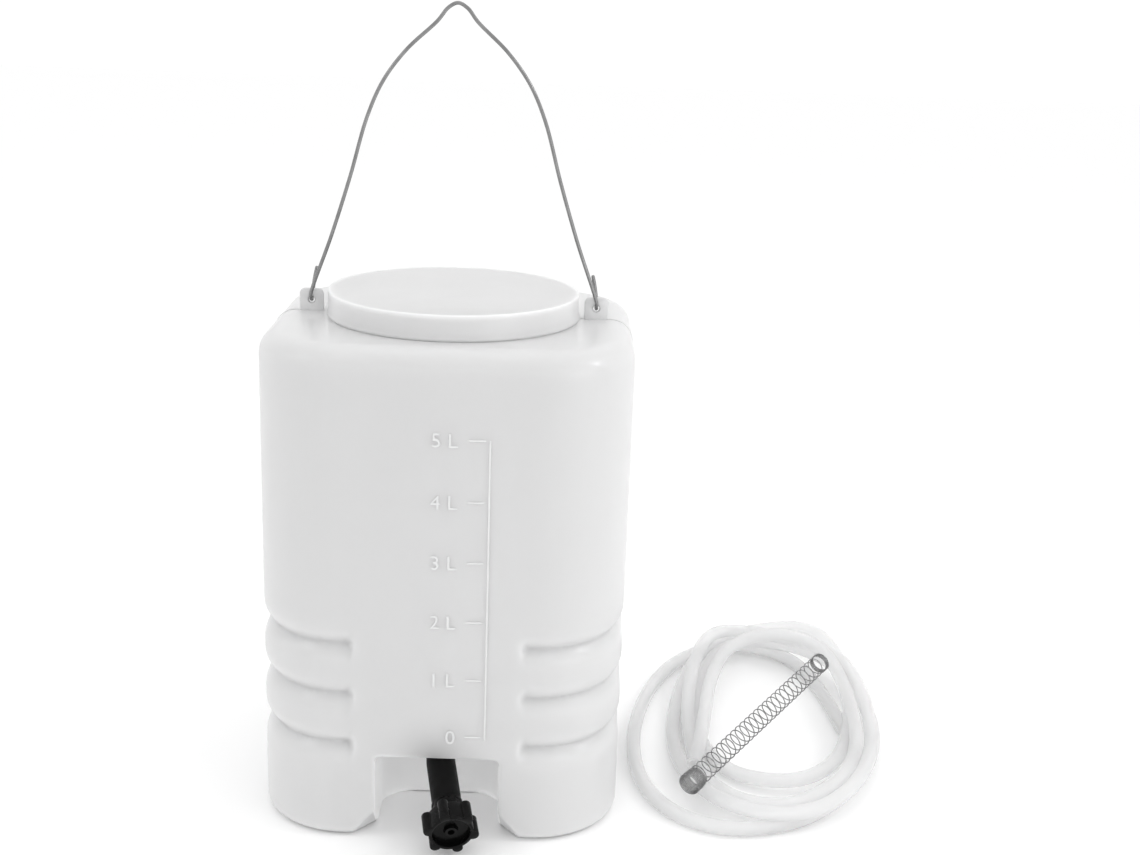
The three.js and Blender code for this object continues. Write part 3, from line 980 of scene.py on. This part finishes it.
def outlet_tube(material):
    """The flexible tube from the bulkhead fitting to the coupling, with soft cut edges."""
    line = outlet_line()
    sides, edge = 48, 0.4
    cut = circle(TUBE_RADIUS - edge, sides)
    skin = swept(line, [cut] + [circle(TUBE_RADIUS, sides)] * (len(line) - 2) + [cut])
    bore = swept(line, [circle(TUBE_BORE, sides)] * len(line))
    vertices, faces = loft(skin + bore[::-1] + skin[:1], closed_ends=False)
    piece = mesh_piece("outlet_hose", vertices, faces, 50)
    weld(piece)
    face_outwards(piece)
    return finish_piece(piece, "tank", material, ["outlet_tube"])


def weld(piece):
    """Merges vertices at one place."""
    form = bmesh.new()
    form.from_mesh(piece.data)
    bmesh.ops.remove_doubles(form, verts=form.verts, dist=1e-7)
    form.to_mesh(piece.data)
    form.free()


def lobed_radius(angle):
    """The hose nut's outline: a round body with six ribs, blended where they meet."""
    pitch = 2 * math.pi / RIB_COUNT
    off = angle - round(angle / pitch) * pitch
    inside = RIB_RADIUS**2 - (RIB_CENTRE * math.sin(off)) ** 2
    rib = RIB_CENTRE * math.cos(off) + math.sqrt(inside) if inside > 0 else 0
    blend = 0.8
    gap = max(blend - abs(rib - NUT_RADIUS), 0)
    return max(rib, NUT_RADIUS) + gap * gap / (4 * blend)


def ring_skin(name, rings, sharp_angle):
    """A closed ring-shaped piece on the coupling's axis, through rings of (across, up, along) points."""
    vertices, faces = loft(rings + rings[:1], closed_ends=False)
    piece = mesh_piece(name, placed(vertices, on_coupling()), faces, sharp_angle)
    weld(piece)
    face_outwards(piece)
    return piece


def round_ring(radii, angles, z):
    """One ring of points at a distance along the axis, with a radius for each angle."""
    return [(r * math.cos(a), r * math.sin(a), z) for r, a in zip(radii, angles)]


def full_turn(sides):
    return [2 * math.pi * i / sides for i in range(sides)]


def hose_nut(material):
    """The six-lobed nut, open at the front round the hose tail and at the back round the thread."""
    angles = full_turn(288)
    lobes = [lobed_radius(a) for a in angles]
    edge, hollow, bore, thread = 0.7, 10.2, 4.0, 7.8
    back = -NUT_LENGTH
    outside = [(back, -edge), (back + edge * 0.3, -edge * 0.3), (back + edge, 0)]
    outside += [(-edge, 0), (-edge * 0.3, -edge * 0.3), (0, -edge)]
    inside = [(0, hollow + 0.6), (-0.3, hollow), (-3.2, hollow), (-3.2, bore), (-4.3, bore)]
    inside += [(-4.3, thread), (back + 0.4, thread), (back, thread + 0.4)]
    rings = [round_ring([r + grow for r in lobes], angles, z) for z, grow in outside]
    rings += [round_ring([radius] * len(angles), angles, z) for z, radius in inside]
    piece = ring_skin("lobed_nut", rings, 40)
    return finish_piece(piece, "nut", material, ["hose_nut"])


def collar_radius(angle):
    """The collar's outline: six wrench flats worn round at their corners."""
    pitch = math.pi / 3
    off = angle - round(angle / pitch) * pitch
    return min(8.6, 8.05 / math.cos(off))


def coupling_collar(material):
    """The coupling's collar: its wrench flats, a bead at the back and a thread in front."""
    angles = full_turn(96)
    flats = [collar_radius(a) for a in angles]
    back, front, collar_end = COUPLING_BACK, COUPLING_FRONT, -NUT_LENGTH - GAP
    bead, root, mouth = 8.5, COUPLING_THREAD - 0.6, COUPLING_BORE + 0.3

    def rounds(*stations):
        return [round_ring([radius] * len(angles), angles, z) for z, radius in stations]

    rings = rounds((back, 7.9), (back + 0.4, bead), (back + 1.8, bead))
    rings += [round_ring(flats, angles, z) for z in (back + 2.2, collar_end - 0.4)]
    rings += rounds((collar_end, 7.9))
    z = collar_end
    while z < front - 1:
        rings += rounds((z + 0.1, root), (z + 0.5, COUPLING_THREAD), (z + 0.8, COUPLING_THREAD))
        rings += rounds((z + THREAD_PITCH, root))
        z += THREAD_PITCH
    rings += rounds((front, root), (front, mouth), (front - 0.3, COUPLING_BORE))
    rings += rounds((back + 0.3, COUPLING_BORE), (back, mouth))
    piece = ring_skin("coupling_collar", rings, 30)
    return finish_piece(piece, "tank", material, ["coupling_body"])


def finish_cad_nodes(names, material):
    """CAD nodes whose shape is right keep it, with a finished material and smooth round faces."""
    for name in names:
        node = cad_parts[name]
        node.data.materials.clear()
        node.data.materials.append(material)
        smooth(node.data, 35)


# ---- Stage


def aim_camera():
    """The viewing angle: from in front, a little above and to the right, turned slightly clockwise."""
    data = bpy.data.cameras.new("camera")
    data.sensor_width = 36
    data.lens = CAMERA_LENS
    camera = bpy.data.objects.new("camera", data)
    bpy.context.scene.collection.objects.link(camera)
    pitch, yaw, roll = (math.radians(a) for a in (CAMERA_PITCH, CAMERA_YAW, CAMERA_ROLL))
    turn = Matrix.Rotation(-yaw, 4, "Z") @ Matrix.Rotation(math.pi / 2 - pitch, 4, "X")
    camera.matrix_world = Matrix.Translation(CAMERA_AT) @ turn @ Matrix.Rotation(roll, 4, "Z")
    bpy.context.scene.camera = camera


def area_light(name, at, target, size, power):
    """A rectangular softbox aimed at a place; metres and watts."""
    data = bpy.data.lights.new(name, "AREA")
    data.shape = "RECTANGLE"
    data.size, data.size_y = size
    data.energy = power
    light = bpy.data.objects.new(name, data)
    bpy.context.scene.collection.objects.link(light)
    direction = Vector(target) - Vector(at)
    light.location = at
    light.rotation_euler = direction.to_track_quat("-Z", "Y").to_euler()


def lay_floor():
    """A wide plain floor just under the object."""
    reach = 6
    corners = [(-reach, -reach, 0), (reach, -reach, 0), (reach, reach, 0), (-reach, reach, 0)]
    mesh = bpy.data.meshes.new("floor")
    mesh.from_pydata(corners, [], [(0, 1, 2, 3)])
    floor = bpy.data.objects.new("floor", mesh)
    floor.location.z = -0.0005
    bpy.context.scene.collection.objects.link(floor)
    mesh.materials.append(pale_floor())


def light_studio():
    """A white surround, with softboxes for the shading."""
    world = bpy.data.worlds.new("studio")
    world.use_nodes = True
    background = world.node_tree.nodes["Background"]
    background.inputs["Color"].default_value = (1, 1, 1, 1)
    background.inputs["Strength"].default_value = 1.03
    bpy.context.scene.world = world
    bpy.context.scene.view_settings.view_transform = "Standard"
    area_light("side_softbox", (0.95, -0.2, 0.95), (0, 0, 0.15), (0.16, 0.22), 1.5)
    area_light("left_softbox", (-0.95, -0.5, 0.9), (0, 0, 0.1), (0.16, 0.22), 0.6)
    area_light("front_softbox", (0.5, -0.5, 0.3), (0.05, 0, 0.15), (0.4, 0.4), 0.5)
    area_light("top_softbox", (0.0, 0.1, 1.5), (0, 0, 0.2), (1.0, 1.0), 1.5)


STEEL = steel_wire()
BLACK = black_plastic()
RUBBER = black_rubber()
TANK = milky_plastic("milky_plastic", 0.8, 0.77, painted_shade=True)

hose(clear_hose())
hose_spring(STEEL)
tank_shell(TANK)
mould_seam(TANK)
graduations(solid_plastic("mark_plastic", 0.73, 0.68))
lid(milky_plastic("lid_plastic", 0.84, 0.82))
bail(STEEL)
outlet_tube(RUBBER)
coupling_collar(BLACK)
hose_nut(BLACK)
finish_cad_nodes(("bulkhead_fitting", "bulkhead_nut", "hose_tail"), BLACK)
finish_cad_nodes(("lid_seal", "bulkhead_outer_washer", "bulkhead_inner_washer", "coupling_seal"), RUBBER)
lay_floor()
light_studio()
aim_camera()
